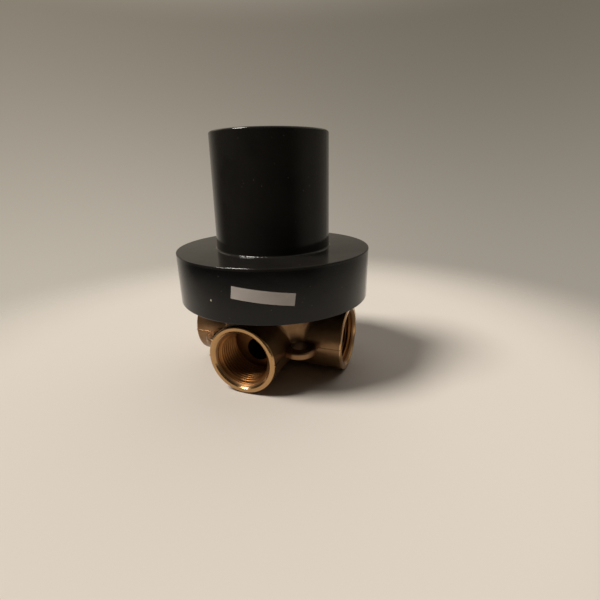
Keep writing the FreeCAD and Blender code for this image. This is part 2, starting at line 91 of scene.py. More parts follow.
PORTS = ("inlet_port", "outlet_port_right", "outlet_port_back", "outlet_port_left")
PORT = stated_bore("outlet_port_right")
PORT_LEVEL = PORT.mouth.z
PORT_STEP = PORT.mouth.x - PORT.length      # where the bore steps down to the waterway
PORT_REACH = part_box("valve_body")[1].x
LUGS = stated("fixing_lugs")["dims"]
LUG_OFFSET = LUGS["spacing_x_mm"] / 2 * MM
LUG_HOLE_RADIUS = LUGS["hole_r_mm"] * MM
LUG_TOP = 2.4 * MM              # above the ports' axes
NECK_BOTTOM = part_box("valve_body")[1].z - 8.05 * MM
CHAMBER_RADIUS = 18.8 * MM      # a little outside the chamber's wall
CHAMBER_FLOOR = 24.2 * MM
DISC_TOP = 63.4 * MM            # of the plaster guard
SPECK_PLACE = Vector((-8.42, -47.8, 48.4)) * MM


# Sizes and colours that a user would change

def size(name, description, default):
    """A length that a user can change."""
    return FloatProperty(name=name, description=description, default=default, min=0.0,
                         unit="LENGTH", precision=5)


def turn(name, description, degrees):
    """An angle that a user can change, given here in degrees."""
    return FloatProperty(name=name, description=description, default=math.radians(degrees),
                         subtype="ANGLE", unit="ROTATION")


def share(name, description, default):
    """A number from 0 to 1 that a user can change."""
    return FloatProperty(name=name, description=description, default=default, min=0.0, max=1.0,
                         subtype="FACTOR")


def colour(name, description, default):
    """A colour that a user can change, in linear light."""
    return FloatVectorProperty(name=name, description=description, default=default, size=3,
                               min=0.0, max=1.0, subtype="COLOR")


class ThreadSizes(bpy.types.PropertyGroup):
    """Sizes of the threads in the ports and in the stem's end."""

    pipe_pitch: size("Pipe pitch", "From crest to crest in the ports", 1.814 * MM)
    pipe_depth: size("Pipe depth", "How far the ports' crests stand inside the wall", 1.1 * MM)
    screw_pitch: size("Screw pitch", "From crest to crest in the stem's end", 0.8 * MM)
    screw_depth: size("Screw depth", "How far the screw hole's crests stand inside its wall",
                      0.4 * MM)
    crest_share: share("Crest share", "Width of a crest's flat as a share of the pitch", 0.22)
    root_share: share("Root share", "Width of a ridge's foot as a share of the pitch", 0.94)
    crest_round: share("Crest round", "Rounding of a crest as a share of its flat", 0.42)
    sunk: size("Sunk", "How far a ridge's foot stands in the wall that carries it", 0.12 * MM)
    steps: IntProperty(name="Steps", description="Straight runs in one turn of a ridge",
                       default=72, min=12, max=180)


class MouthSizes(bpy.types.PropertyGroup):
    """Size of the four ports' mouths."""

    countersink: size("Countersink", "How far a mouth widens from the bore's wall to its face",
                      1.6 * MM)


class SeamSizes(bpy.types.PropertyGroup):
    """Sizes of the seam that the two halves of the mould left along the barrels."""

    barrel_radius: size("Barrel radius", "Outside of a port's barrel", 17.0 * MM)
    start: size("Start", "From the spindle axis to where a seam leaves its lug", 27.0 * MM)
    height: size("Height", "How far the seam stands out of a barrel", 0.2 * MM)
    foot: size("Foot", "Width of the seam at the barrel", 0.7 * MM)
    crest: size("Crest", "Width of the seam's crest", 0.2 * MM)
    sunk: size("Sunk", "How far the seam's foot stands in the barrel", 0.4 * MM)
    short_of_face: size("Short of the face", "Where the seam ends before the port's face",
                        0.25 * MM)
    unevenness: size("Unevenness", "How far the seam wanders", 0.05 * MM)
    burr_on: StringProperty(name="Burr on", description="The seam that ends in a burr",
                            default="inlet_seam_a")
    burr_height: size("Burr height", "How far the burr stands out above its seam", 0.35 * MM)
    burr_length: size("Burr length", "Length of the burr along the barrel", 1.3 * MM)
    cuts: IntProperty(name="Cuts", description="Cuts along one seam", default=18, min=2, max=60)


class Finishes(bpy.types.PropertyGroup):
    """Colours and grain of the materials."""

    machined_brass: colour("Machined brass", "Cut faces", (0.54, 0.325, 0.15))
    # Painted shade: the bores and threads get a colour darker than the cut faces, standing in for
    # the shade inside them rather than a cutting-oil stain.
    bore_brass_painted_shade: colour("Bored brass", "Bores and threads, darkened by cutting oil",
                        (0.31, 0.138, 0.046))
    cast_brass: colour("Cast brass", "Skin of the casting", (0.27, 0.157, 0.077))
    brass_stain: colour("Brass stain", "Brown patches on the casting's skin",
                        (0.19, 0.10, 0.045))
    bare: share("Bare metal", "How metallic the tarnished skin of the casting is", 0.8)
    cast_grain: size("Cast grain", "Grain of the sand on the casting's skin", 0.45 * MM)
    black_plastic: colour("Black plastic", "The guard", (0.0030, 0.0029, 0.0031))
    gloss_ripple: size("Gloss ripple", "Length of the ripples in the moulded gloss", 9.0 * MM)
    speck: colour("Speck", "The light speck on the guard's skirt", (0.80, 0.72, 0.60))
    paper: colour("Paper", "The label", (0.64, 0.585, 0.55))
    rubber: colour("Rubber", "Seals and rings", (0.022, 0.022, 0.024))
    ceramic: colour("Ceramic", "The two discs", (0.83, 0.81, 0.76))
    grey_plastic: colour("Grey plastic", "The cartridge's base", (0.30, 0.31, 0.32))
    white_plastic: colour("White plastic", "Driver, washer and stop ring", (0.74, 0.73, 0.68))
    steel: colour("Steel", "The clip", (0.56, 0.55, 0.53))


class StageSizes(bpy.types.PropertyGroup):
    """Floor, lamps and camera."""

    floor: colour("Floor", "Pale floor under the object", (0.72, 0.67, 0.61))
    floor_reach: size("Floor reach", "From the spindle axis to the middle of the floor's soft edge",
                      0.21)
    floor_edge: size("Floor edge", "Width of the floor's soft edge", 0.14)
    wall: colour("Wall", "The room behind the object, at the floor", (0.54, 0.485, 0.405))
    wall_top: colour("Wall top", "The room behind the object, high up", (0.235, 0.205, 0.16))
    ceiling: colour("Ceiling", "The room above the picture", (0.80, 0.72, 0.62))
    wall_fall: share("Wall fall", "How much darker the wall is at the right", 0.35)
    shade: colour("Shade", "The room on the camera's side", (0.05, 0.044, 0.037))
    shade_round: turn("Shade round", "From the camera round to the middle of the shade", -34.0)
    room_light: share("Room light", "How much of its brightness the room gives as light", 0.22)
    sunlight: FloatProperty(name="Sunlight", description="Strength of the soft sun", default=3.0)
    sun_spread: turn("Sun spread", "Angle across the soft sun", 19.0)
    sun_tint: colour("Sun tint", "Colour of the soft sun", (1.0, 0.95, 0.88))
    sun_round: turn("Sun round", "Round the spindle from the camera to the sun", -85.0)
    sun_height: turn("Sun height", "How high the sun stands", 55.0)
    bounce: FloatProperty(name="Bounced light",
                          description="Strength of the light back from the walls", default=0.68)
    bounce_spread: turn("Bounce spread", "Angle across the bounced light", 75.0)
    bounce_round: turn("Bounce round", "Round the spindle from the camera to the bounced light",
                       150.0)
    bounce_height: turn("Bounce height", "How high the bounced light stands", 52.0)
    eye_distance: size("Eye distance", "Level distance from the spindle axis to the camera",
                       0.19306)
    eye_height: size("Eye height", "Height of the camera over the foot", 0.1013)
    eye_round: turn("Eye round", "Round the spindle from the inlet port to the camera", 24.8)
    pan: turn("Pan", "How far the camera turns away from the spindle axis", -3.927)
    tilt: turn("Tilt", "How far the camera looks down", 19.479)
    roll: turn("Roll", "How far the camera leans", -0.993)
    lens: FloatProperty(name="Lens", description="Focal length on a 36 mm sensor", default=22.47,
                        min=1.0, subtype="DISTANCE_CAMERA")


# Modelling by operators

def deselect():
    """Leaves edit mode with nothing selected."""
    if bpy.context.mode != "OBJECT":
        bpy.ops.object.mode_set(mode="OBJECT")
    bpy.ops.object.select_all(action="DESELECT")


def work_on(piece):
    """Makes one piece the only selected one."""
    deselect()
    piece.select_set(True)
    bpy.context.view_layer.objects.active = piece


def new_piece(name, add, **sizes):
    """Adds a primitive as the start of a piece."""
    deselect()
    add(**sizes)
    piece = bpy.context.active_object
    piece.name = name
    piece.data.name = name
    return piece


def everything(part, middle):
    """What pick is given to select a whole mesh."""
    return True


def pick(piece, kind, wanted):
    """Goes into edit mode with the vertices, edges or faces selected whose middle is wanted."""
    work_on(piece)
    mesh = piece.data

    def edge_middle(edge):
        first, second = (mesh.vertices[end].co for end in edge.vertices)
        return (first + second) / 2

    for parts in (mesh.vertices, mesh.edges, mesh.polygons):
        parts.foreach_set("select", [False] * len(parts))
    kinds = {"VERT": (mesh.vertices, lambda vertex: vertex.co),
             "EDGE": (mesh.edges, edge_middle),
             "FACE": (mesh.polygons, lambda face: face.center)}
    parts, middle = kinds[kind]
    for part in parts:
        part.select = wanted(part, middle(part))
    bpy.context.tool_settings.mesh_select_mode = [kind == other for other in kinds]
    bpy.ops.object.mode_set(mode="EDIT")


def modify(piece, kind, **values):
    """Adds a modifier and applies it."""
    work_on(piece)
    modifier = piece.modifiers.new(kind.title(), kind)
    for key, value in values.items():
        setattr(modifier, key, value)
    bpy.ops.object.modifier_apply(modifier=modifier.name)


def settle(piece, place):
    """Puts a piece modelled at the origin in its place and applies that to its mesh."""
    work_on(piece)
    piece.matrix_world = place
    bpy.ops.object.transform_apply(location=True, rotation=True, scale=True)


def face_outwards(piece):
    """Merges doubles and turns every face outwards."""
    pick(piece, "FACE", everything)
    bpy.ops.mesh.remove_doubles(threshold=MERGED)
    bpy.ops.mesh.normals_make_consistent(inside=False)
    deselect()


def smooth(piece, degrees):
    """Shades a piece smooth, apart from edges sharper than an angle."""
    work_on(piece)
    bpy.ops.object.shade_smooth_by_angle(angle=math.radians(degrees))


def twin(piece, name):
    """A copy of a piece with its own mesh."""
    work_on(piece)
    bpy.ops.object.duplicate(linked=False)
    copy = bpy.context.active_object
    copy.name = name
    copy.data.name = name
    return copy


def wound_ridge(name, bore_radius, length, widening, pitch, depth, sizes):
    """A thread's ridge in a bore whose mouth is at the origin and faces +Z.

    The mouth is wider than the bore by the widening, and a cone there takes the ridge away.
    """
    foot_radius = bore_radius + sizes.sunk
    crest_radius = bore_radius - depth
    middle = (foot_radius + crest_radius) / 2
    ridge = new_piece(name, bpy.ops.mesh.primitive_plane_add, size=1.0)
    pick(ridge, "FACE", everything)
    bpy.ops.transform.resize(value=(foot_radius - crest_radius, pitch * sizes.root_share, 1.0),
                             center_override=ORIGIN)
    bpy.ops.transform.rotate(value=math.pi / 2, orient_axis="X", center_override=ORIGIN)
    bpy.ops.transform.translate(value=(middle, 0.0, 0.0))
    pick(ridge, "VERT", lambda vertex, place: place.x < middle)
    bpy.ops.transform.resize(value=(1.0, 1.0, sizes.crest_share / sizes.root_share),
                             center_override=(crest_radius, 0.0, 0.0))
    pick(ridge, "VERT", lambda vertex, place: place.x < middle)
    crest = pitch * sizes.crest_share
    bpy.ops.mesh.bevel(offset=crest * sizes.crest_round, segments=3, affect="VERTICES")
    pick(ridge, "FACE", everything)
    bpy.ops.mesh.delete(type="ONLY_FACE")
    bpy.ops.mesh.select_all(action="SELECT")
    bpy.ops.transform.translate(value=(0.0, 0.0, -length - pitch / 2))
    turns = math.ceil(length / pitch) + 1
    modify(ridge, "SCREW", axis="Z", angle=FULL_TURN, screw_offset=pitch, iterations=turns,
           steps=sizes.steps, render_steps=sizes.steps, use_merge_vertices=False)
    pick(ridge, "EDGE", lambda edge, centre: False)
    bpy.ops.mesh.select_non_manifold()
    bpy.ops.mesh.fill_holes(sides=0)
    face_outwards(ridge)
    mouth_radius = bore_radius + widening + sizes.sunk
    run = widening + depth + 3 * sizes.sunk
    over = 2 * pitch
    reamer = new_piece("mouth_reamer", bpy.ops.mesh.primitive_cone_add,
                       vertices=sizes.steps * 2, radius1=mouth_radius - run,
                       radius2=mouth_radius + over, depth=run + over,
                       location=(0.0, 0.0, (over - run) / 2))
    modify(ridge, "BOOLEAN", operation="DIFFERENCE", object=reamer, solver="EXACT")
    bpy.data.objects.remove(reamer)
    face_outwards(ridge)
    smooth(ridge, degrees=35)
    deselect()
    return ridge


def bored_place(name):
    """Where a ridge modelled at the origin goes for a stated bore."""
    bore = stated_bore(name)
    return Matrix.Translation(bore.mouth) @ bore.axis.to_track_quat("Z", "X").to_matrix().to_4x4()


def seam_bar(name, start, end, burr, sizes, seed):
    """A low ridge along +X at the barrel's side, narrowing from its foot to its crest."""
    length = end - start
    middle = (start + end) / 2
    low = sizes.barrel_radius - sizes.sunk
    high = sizes.barrel_radius + sizes.height
    burr_start = end - sizes.burr_length
    bar = new_piece(name, bpy.ops.mesh.primitive_cube_add, size=1.0)
    pick(bar, "FACE", everything)
    bpy.ops.transform.resize(value=(length, high - low, sizes.foot), center_override=ORIGIN)
    bpy.ops.transform.translate(value=(middle, (low + high) / 2, 0.0))
    pick(bar, "FACE", lambda face, centre: face.normal.y > 0.5)
    bpy.ops.transform.resize(value=(1.0, 1.0, sizes.crest / sizes.foot), center_override=ORIGIN)
    pick(bar, "EDGE", lambda edge, centre: abs(centre.x - middle) < length / 4)
    bpy.ops.mesh.subdivide(number_cuts=sizes.cuts)

    def pick_crest(wanted):
        pick(bar, "VERT", lambda vertex, place: place.y > sizes.barrel_radius and wanted(place.x))

    pick_crest(lambda along: start < along < end)
    bpy.ops.transform.vertex_random(offset=sizes.unevenness, uniform=0.4, normal=0.0, seed=seed)
    pick_crest(lambda along: along > burr_start)
    bpy.ops.transform.translate(value=(0.0, burr, 0.0))
    deselect()
    return bar


# Materials

class Number:
    """A socket in an expression, whose operators add Math nodes."""

    def __init__(self, wiring, socket):
        self.wiring = wiring
        self.socket = socket

    def math(self, operation, *values):
        return self.wiring.node("ShaderNodeMath", {"operation": operation}, dict(enumerate(values)))

    def __add__(self, other):
        return self.math("ADD", self, other)

    __radd__ = __add__

    def __sub__(self, other):
        return self.math("SUBTRACT", self, other)

    def __rsub__(self, other):
        return self.math("SUBTRACT", other, self)

    def __mul__(self, other):
        return self.math("MULTIPLY", self, other)

    __rmul__ = __mul__

    def __abs__(self):
        return self.math("ABSOLUTE", self)

    def root(self):
        return self.math("SQRT", self)

    def waves(self, length):
        """From -1 to 1 and back, once in each length."""
        return self.math("SINE", self * (FULL_TURN / length))

    def above(self, level, blur=HAIR):
        """From 0 to 1 where the number passes a level, over a step as wide as blur."""
        return self.wiring.node("ShaderNodeMapRange", {"interpolation_type": "SMOOTHSTEP"},
                                {0: self, 1: level - blur / 2, 2: level + blur / 2})

    def below(self, level, blur=HAIR):
        """From 1 to 0 where the number passes a level."""
        return 1.0 - self.above(level, blur)

    def larger(self, other):
        return self.math("MAXIMUM", self, other)

    def smaller(self, other):
        return self.math("MINIMUM", self, other)


class Wiring:
    """A tree of shader nodes."""

    def __init__(self, tree):
        self.tree = tree

    def feed(self, node, values):
        """Sets or links a node's sockets."""
        for key, value in values.items():
            if isinstance(value, Number):
                self.tree.links.new(value.socket, node.inputs[key])
            else:
                node.inputs[key].default_value = value

    def node(self, kind, settings=None, values=None, output=0):
        """Any node: its type, its settings, then its sockets' values or links."""
        made = self.tree.nodes.new(kind)
        for key, value in (settings or {}).items():
            setattr(made, key, value)
        self.feed(made, values or {})
        if output is None:
            return [Number(self, socket) for socket in made.outputs]
        return Number(self, made.outputs[output])

    def blend(self, mask, first, second):
        """The first colour where the mask is 0 and the second where it is 1."""
        return self.node("ShaderNodeMix", {"data_type": "RGBA", "blend_type": "MIX"},
                         {0: mask, 6: opaque(first), 7: opaque(second)}, output=2)


class Finish(Wiring):
    """One material: a Principled shader and the nodes that feed it."""

    def __init__(self, name, **fixed):
        self.material = bpy.data.materials.new(name)
        self.material.use_nodes = True
        super().__init__(self.material.node_tree)
        self.shade(**fixed)
        self.object_place = self.node("ShaderNodeTexCoord", output="Object")

    def shade(self, **values):
        """Feeds the shader's sockets; an underscore in a name stands for a space."""
        self.feed(self.tree.nodes["Principled BSDF"],
                  {key.replace("_", " "): value for key, value in values.items()})

    def axes(self):
        """The three Object coordinates."""
        return self.node("ShaderNodeSeparateXYZ", None, {0: self.object_place}, output=None)

    def noise(self, grain, detail=2.0, roughness=0.5, stretch=(1.0, 1.0, 1.0), shift=0.0):
        """Noise from 0 to 1 whose features are about as long as the grain."""
        place = self.node("ShaderNodeMapping", None,
                          {"Vector": self.object_place, "Location": (shift, shift, shift),
                           "Scale": tuple(1.0 / (grain * part) for part in stretch)})
        return self.node("ShaderNodeTexNoise", None,
                         {"Vector": place, "Scale": 1.0, "Detail": detail, "Roughness": roughness})

    def cells(self, spacing):
        """Distance to the nearest of many scattered points, as a share of their spacing."""
        return self.node("ShaderNodeTexVoronoi", {"feature": "F1"},
                         {"Vector": self.object_place, "Scale": 1.0 / spacing, "Randomness": 1.0})

    def bump(self, height, distance):
        """A Bump node's normal."""
        return self.node("ShaderNodeBump", None, {"Height": height, "Distance": distance})


def opaque(tint):
    """A colour as four numbers, or a link as it is."""
    return tint if isinstance(tint, Number) else (*tint, 1.0)


def scaled(tint, by):
    """A colour times a number."""
    return tuple(part * by for part in tint)


def across(first, second):
    """Distance from an axis, from the two coordinates across it."""
    return (first * first + second * second).root()


def put_on(names, finish):
    """Gives CAD nodes or pieces a finish through their material slots."""
    for name in names:
        piece = bpy.data.objects[name]
        piece.data.materials.clear()
        piece.data.materials.append(finish.material)


def cast_brass(name, colours):
    """Sand-cast brass with bright cut faces where a tool has been; bores, lug holes and waterways
    darker as painted shade.
    """
    finish = Finish(name)
    x, y, z = finish.axes()
    rise = z - PORT_LEVEL
    out_x = abs(x)
    out_y = abs(y)
    outmost = out_x.larger(out_y)
    from_x_axis = across(y, rise)
    from_y_axis = across(x, rise)
    from_port_axis = from_x_axis.smaller(from_y_axis)
    margin = 0.25 * MM      # how far a mask reaches past a cut wall
    in_x_bore = out_x.above(PORT_STEP - margin) * from_x_axis.below(PORT.radius + margin)
    in_y_bore = out_y.above(PORT_STEP - margin) * from_y_axis.below(PORT.radius + margin)
    wander = (finish.noise(grain=2.2 * MM, detail=3.0) - 0.5) * (0.12 * MM)
    port_face = (outmost + wander).above(PORT_REACH - 0.8 * MM, blur=0.25 * MM)
    bores = in_x_bore.larger(in_y_bore) * (1.0 - port_face)
    neck = z.above(NECK_BOTTOM)
    chamber = across(x, y).below(CHAMBER_RADIUS) * z.above(CHAMBER_FLOOR)
    cut = bores.larger(port_face).larger(neck.larger(chamber))
    in_lug = across(out_x - LUG_OFFSET, out_y - LUG_OFFSET).below(LUG_HOLE_RADIUS + margin)
    waterway = from_port_axis.below(PORT.radius * 0.7) * outmost.below(PORT_STEP - margin)
    # Painted shade: the lug holes below the lugs' tops and the waterways are made near black to
    # stand in for the shade inside them.
    painted_hole_shade = (in_lug * rise.below(LUG_TOP)).larger(waterway)

    grain = finish.noise(grain=colours.cast_grain, detail=4.0, roughness=0.6)
    lumps = finish.noise(grain=colours.cast_grain * 6, detail=2.0)
    stain = finish.noise(grain=9.0 * MM, detail=5.0, roughness=0.65).above(0.56, blur=0.3)
    skin = finish.blend(stain * 0.75, colours.cast_brass, colours.brass_stain)
    skin = finish.blend(grain.above(0.62, blur=0.2) * 0.35, skin, scaled(colours.cast_brass, 1.25))
    # Painted shade: the skin turns near black in the lug holes and waterways.
    skin = finish.blend(painted_hole_shade * 0.8, skin, scaled(colours.brass_stain, 0.2))
    tone = finish.noise(grain=5.0 * MM, detail=3.0).above(0.5, blur=0.5)
    metal = finish.blend(tone * 0.5, colours.machined_brass, scaled(colours.machined_brass, 0.82))
    # Painted shade: the bores take the darker bore colour.
    metal = finish.blend(bores, metal, colours.bore_brass_painted_shade)

    wear = finish.noise(grain=1.6 * MM, detail=3.0, shift=3.0)
    skin_roughness = 0.24 + grain * 0.12 + stain * 0.08 + painted_hole_shade * 0.3
    metal_roughness = 0.16 + wear * 0.06 + bores * 0.30
    face_marks = port_face * from_port_axis.waves(0.35 * MM)
    bore_marks = (1.0 - port_face) * outmost.waves(0.22 * MM)
    tool_marks = (face_marks + bore_marks) * (bores * 0.01 + port_face * 0.12)
    height = (1.0 - cut) * (grain * 0.5 + lumps * 0.6) + tool_marks
    finish.shade(Base_Color=finish.blend(cut, skin, metal),
                 Roughness=cut * metal_roughness + (1.0 - cut) * skin_roughness,
                 Metallic=cut.larger(colours.bare),
                 Normal=finish.bump(height, distance=0.06 * MM))
    return finish


def turned_brass(name, tint, roughness):
    """Brass straight from the lathe: fine rings round the spindle and a little tarnish."""
    finish = Finish(name, Metallic=1.0)
    x, y, z = finish.axes()
    rings = (z + across(x, y)).waves(0.3 * MM)
    tarnish = finish.noise(grain=7.0 * MM, detail=4.0).above(0.55, blur=0.3)
    finish.shade(Base_Color=finish.blend(tarnish * 0.4, tint, scaled(tint, 0.7)),
                 Roughness=roughness + tarnish * 0.12 + rings * 0.03,
                 Normal=finish.bump(rings, distance=0.004 * MM))
    return finish


def gloss_plastic(colours):
    """Glossy black moulding with a faint ripple, hair scratches, dust, a painted sheen from the
    disc's top up and one light speck.
    """
    finish = Finish("gloss_black_plastic", Specular_IOR_Level=0.30)
    x, y, z = finish.axes()
    off_x, off_y, off_z = (part - centre for part, centre in zip((x, y, z), SPECK_PLACE))
    from_speck = (off_x * off_x + off_y * off_y + off_z * off_z * 0.5).root()
    blot = (finish.noise(grain=0.5 * MM, detail=3.0) - 0.5) * (0.4 * MM)
    speck = (from_speck + blot).below(0.36 * MM, blur=0.3 * MM)
    dusty = finish.noise(grain=14.0 * MM).above(0.5, blur=0.2)
    dust = finish.cells(spacing=3.0 * MM).below(0.045, blur=0.03) * dusty
    clouds = finish.noise(grain=20.0 * MM, detail=3.0).above(0.3, blur=0.6)
    # Dust and painted sheen: from the disc's top up, clouds of a faintly lighter colour stand
    # partly for dust and partly for the sheen of light on the top.
    dust_film_and_sheen = z.above(DISC_TOP - MM, blur=MM) * clouds
    light = speck.larger(dust * 0.30).larger(dust_film_and_sheen * 0.020)
    smears = finish.noise(grain=12.0 * MM, detail=4.0, roughness=0.6, stretch=(1.0, 1.0, 0.5))
    hair = finish.noise(grain=0.6 * MM, detail=1.0, stretch=(14.0, 14.0, 0.5), shift=2.0)
    rubbed = finish.noise(grain=6.0 * MM, shift=5.0).above(0.55, blur=0.1)
    scratches = hair.above(0.66, blur=0.03) * rubbed
    ripple = finish.noise(grain=colours.gloss_ripple, detail=1.0)
    peel = finish.noise(grain=0.9 * MM, detail=2.0)
    height = ripple + peel * 0.045 + speck * 0.5 - scratches * 0.05
    finish.shade(Base_Color=finish.blend(light, colours.black_plastic, colours.speck),
                 Roughness=0.07 + smears * 0.08 + scratches * 0.12 + light * 0.4,
                 Normal=finish.bump(height, distance=0.05 * MM))
    return finish


def paper(colours):
    """Coated label paper, blank, with fibres and slight soiling in clouds."""
    finish = Finish("label_paper", Specular_IOR_Level=0.35)
    fibres = finish.noise(grain=0.35 * MM, detail=4.0, roughness=0.7)
    cloud = finish.noise(grain=5.0 * MM, detail=3.0)
    soil = cloud.above(0.5, blur=0.4) * 0.5 + fibres.above(0.55, blur=0.3) * 0.25
    finish.shade(Base_Color=finish.blend(soil, colours.paper, scaled(colours.paper, 0.86)),
                 Roughness=0.42 + fibres * 0.2,
                 Normal=finish.bump(fibres, distance=0.01 * MM))
    return finish


def plain_moulding(name, tint, roughness, grain):
    """A moulded or pressed material with a fine grain and slight clouds of tone."""
    finish = Finish(name)
    fine = finish.noise(grain=grain, detail=3.0)
    cloud = finish.noise(grain=6.0 * MM, detail=3.0, shift=1.0).above(0.5, blur=0.5)
    finish.shade(Base_Color=finish.blend(cloud * 0.6, tint, scaled(tint, 0.85)),
                 Roughness=roughness + fine * 0.12,
                 Normal=finish.bump(fine, distance=0.012 * MM))
    return finish


def bright_steel(colours):
    """Blanked spring steel with a rolled grain along X."""
    finish = Finish("spring_steel", Metallic=1.0)
    grain = finish.noise(grain=0.12 * MM, detail=2.0, stretch=(14.0, 1.0, 1.0))
    finish.shade(Base_Color=finish.blend(grain * 0.4, colours.steel, scaled(colours.steel, 0.75)),
                 Roughness=0.26 + grain * 0.15,
                 Normal=finish.bump(grain, distance=0.004 * MM))
    return finish


# Operators

class VALVE_OT_casting(bpy.types.Operator):
    """Widen the mouths' countersinks in a copy of the brass casting and finish it"""

    bl_idname = "valve.casting"
    bl_label = "Brass casting"

    def execute(self, context):
        node = bpy.data.objects["valve_body"]
        casting = twin(node, "brass_casting")
        pick(casting, "VERT", everything)
        bpy.ops.mesh.remove_doubles(threshold=MERGED)
        for port in PORTS:
            axis = stated_bore(port).axis
            self.countersink(casting, axis, context.scene.valve_mouths.countersink)
        smooth(casting, degrees=30)
        modify(casting, "DATA_TRANSFER", object=node, use_loop_data=True,
               data_types_loops={"CUSTOM_NORMAL"}, loop_mapping="TOPOLOGY")
        put_on([casting.name], cast_brass("cast_brass", context.scene.valve_finishes))
        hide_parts("valve_body")
        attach(casting, "body")
        deselect()
        return {"FINISHED"}

    def countersink(self, casting, axis, width):
        """Moves the two edges of a mouth's chamfer apart, along the face and along the wall."""
        centre = Vector((0.0, 0.0, PORT_LEVEL)) + axis * PORT_REACH

        def depth(place):
            return (centre - place).dot(axis)

        def from_axis(place):
            return (place - centre + axis * depth(place)).length

        def at_face(vertex, place):
            return abs(depth(place)) < HAIR and from_axis(place) < PORT.radius + MM

        def at_wall(vertex, place):
            return HAIR < depth(place) < MM and from_axis(place) < PORT.radius + HAIR

        given = max(from_axis(vertex.co) for vertex in casting.data.vertices
                    if at_face(vertex, vertex.co))
        wider = (PORT.radius + width) / given
        pick(casting, "VERT", at_face)
        bpy.ops.transform.resize(value=[1.0 if abs(part) > 0.5 else wider for part in axis],
                                 center_override=centre)
        pick(casting, "VERT", at_wall)
        bpy.ops.transform.translate(value=axis * (given - PORT.radius - width))


class VALVE_OT_mould_seam(bpy.types.Operator):
    """Model the seam that the mould left along the four barrels, with a burr at the inlet"""

    bl_idname = "valve.mould_seam"
    bl_label = "Mould seam"

    def execute(self, context):
        sizes = context.scene.valve_seam
        skin = cast_brass("seam_brass", context.scene.valve_finishes)
        end = PORT_REACH - sizes.short_of_face
        for row, port in enumerate(PORTS):
            turned = stated_bore(port).axis.to_track_quat("X", "Z").to_matrix().to_4x4()
            along = Matrix.Translation((0.0, 0.0, PORT_LEVEL)) @ turned
            for number, (mark, side) in enumerate((("_a", 1.0), ("_b", -1.0))):
                name = port.replace("port", "seam") + mark
                burr = sizes.burr_height if name == sizes.burr_on else 0.0
                bar = seam_bar(name, sizes.start, end, burr, sizes, seed=10 * row + number)
                settle(bar, along @ Matrix.Scale(side, 4, (0.0, 1.0, 0.0)))
                face_outwards(bar)
                smooth(bar, degrees=50)
                put_on([name], skin)
                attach(bar, "body")
        deselect()
        return {"FINISHED"}


class VALVE_OT_threads(bpy.types.Operator):
    """Model the threads of the four ports and of the stem's screw hole"""

    bl_idname = "valve.threads"
    bl_label = "Threads"

    def execute(self, context):
        sizes = context.scene.valve_threads
        finishes = context.scene.valve_finishes
        # Painted shade: the thread ridges take the darker bore colour too.
        cut = turned_brass("thread_brass", finishes.bore_brass_painted_shade, roughness=0.31)
        model = wound_ridge("pipe_thread", PORT.radius, PORT.length,
                            context.scene.valve_mouths.countersink,
                            sizes.pipe_pitch, sizes.pipe_depth, sizes)
        for port in PORTS:
            ridge = twin(model, port.replace("port", "thread"))
            settle(ridge, bored_place(port))
            self.finish_ridge(ridge, cut, "body", "cast_brass")
        bpy.data.objects.remove(model)
        hole = stated_bore("handle_screw")
        ridge = wound_ridge("handle_screw_thread", hole.radius, hole.length, 0.0,
                            sizes.screw_pitch, sizes.screw_depth, sizes)
        settle(ridge, bored_place("handle_screw"))
        self.finish_ridge(ridge, cut, "stem", "turned_brass")
        return {"FINISHED"}

    def finish_ridge(self, ridge, cut, body, slot):
        """Gives a ridge its finish and its body; the slot argument is not used."""
        put_on([ridge.name], cut)
        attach(ridge, body)
        deselect()


class VALVE_OT_guard(bpy.types.Operator):
    """Finish the plaster guard and its blank label"""

    bl_idname = "valve.guard"
    bl_label = "Plaster guard and label"

    def execute(self, context):
        colours = context.scene.valve_finishes
        put_on(["plaster_guard"], gloss_plastic(colours))
        put_on(["label"], paper(colours))
        return {"FINISHED"}


class VALVE_OT_cartridge(bpy.types.Operator):
    """Finish the pieces inside: cartridge, stem, seals, discs, nut and clip"""

    bl_idname = "valve.cartridge"
    bl_label = "Cartridge and stem"

    def execute(self, context):
        colours = context.scene.valve_finishes
        seals = [name for name in frame["nodes"] if "seal" in name or "o_ring" in name]
        put_on(["stem", "cartridge_sleeve", "bonnet_nut"],
               turned_brass("lathe_brass", colours.machined_brass, roughness=0.24))
        put_on(seals, plain_moulding("black_rubber", colours.rubber,
                                     roughness=0.45, grain=0.15 * MM))
        put_on(["fixed_disc", "moving_disc"],
               plain_moulding("lapped_ceramic", colours.ceramic, roughness=0.10, grain=0.2 * MM))
        put_on(["cartridge_base"],
               plain_moulding("grey_acetal", colours.grey_plastic, roughness=0.38, grain=0.3 * MM))
        put_on(["disc_driver", "thrust_washer", "stop_ring"],
               plain_moulding("white_acetal", colours.white_plastic,
                              roughness=0.34, grain=0.3 * MM))
        put_on(["stem_clip"], bright_steel(colours))
        return {"FINISHED"}


